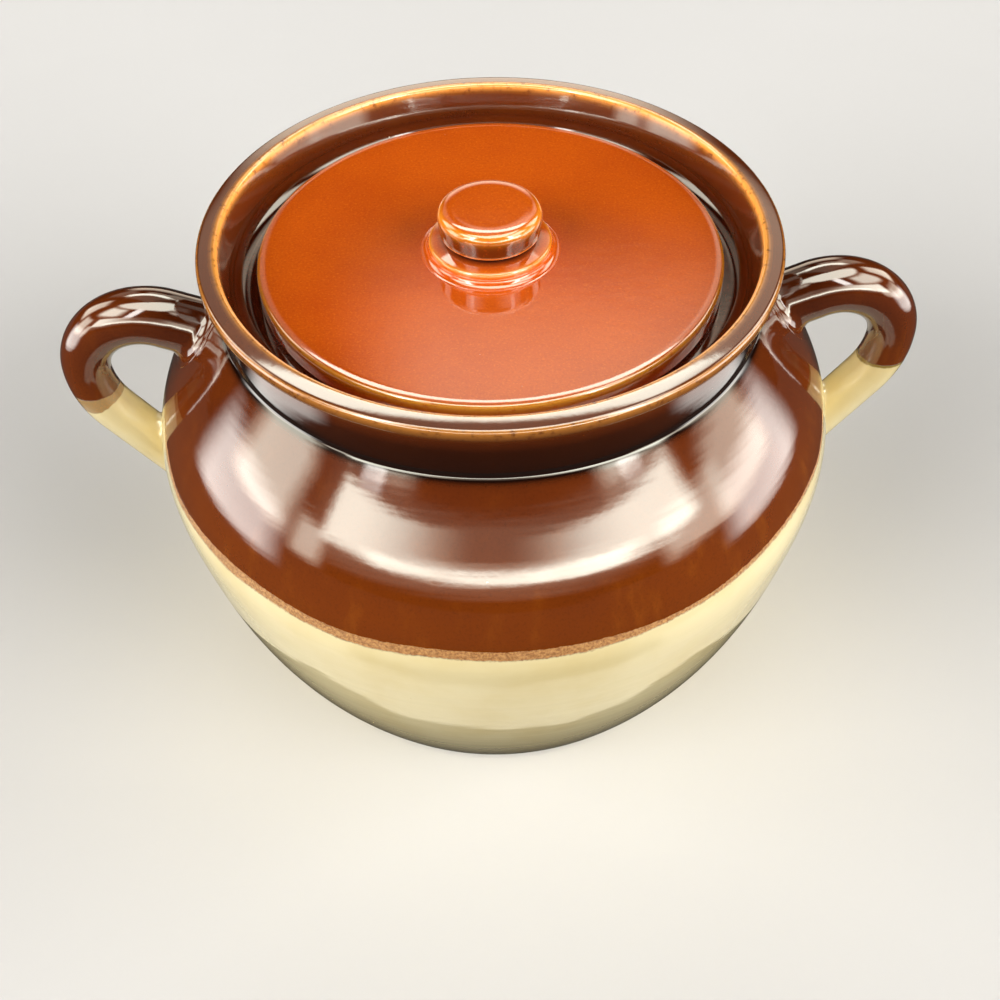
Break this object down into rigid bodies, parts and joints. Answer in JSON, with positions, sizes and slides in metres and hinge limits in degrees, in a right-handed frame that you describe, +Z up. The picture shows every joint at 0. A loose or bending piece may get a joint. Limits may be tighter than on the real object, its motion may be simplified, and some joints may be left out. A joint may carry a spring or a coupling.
{
  "type": "stoneware bean pot",
  "caption": "Round-bellied glazed stoneware bean pot with a collared rim, loop handles at its sides and a loose knobbed lid seated inside the rim.",
  "frame": {"origin": "middle of the foot, on the surface that the pot stands on", "axes": "+Z up, along the pot's axis; the handles lie along +X and -X"},
  "size_m": [0.24, 0.191, 0.1523],
  "materials": {
    "pot_glaze": "gloss, brown above and cream below",
    "handle_glaze": "gloss, brown above and cream below",
    "lid_glaze": "gloss, burnt orange"
  },
  "bodies": {
    "pot": {"pot_body": "pot_glaze", "handle_right": "handle_glaze", "handle_left": "handle_glaze"},
    "lid": {"lid_plate": "lid_glaze", "lid_knob": "lid_glaze"}
  },
  "joints": [
    {"name": "lid_lift", "type": "slide", "parent": "pot", "child": "lid", "axis": [0, 0, 1], "range_m": [0, 0.08]}
  ]
}
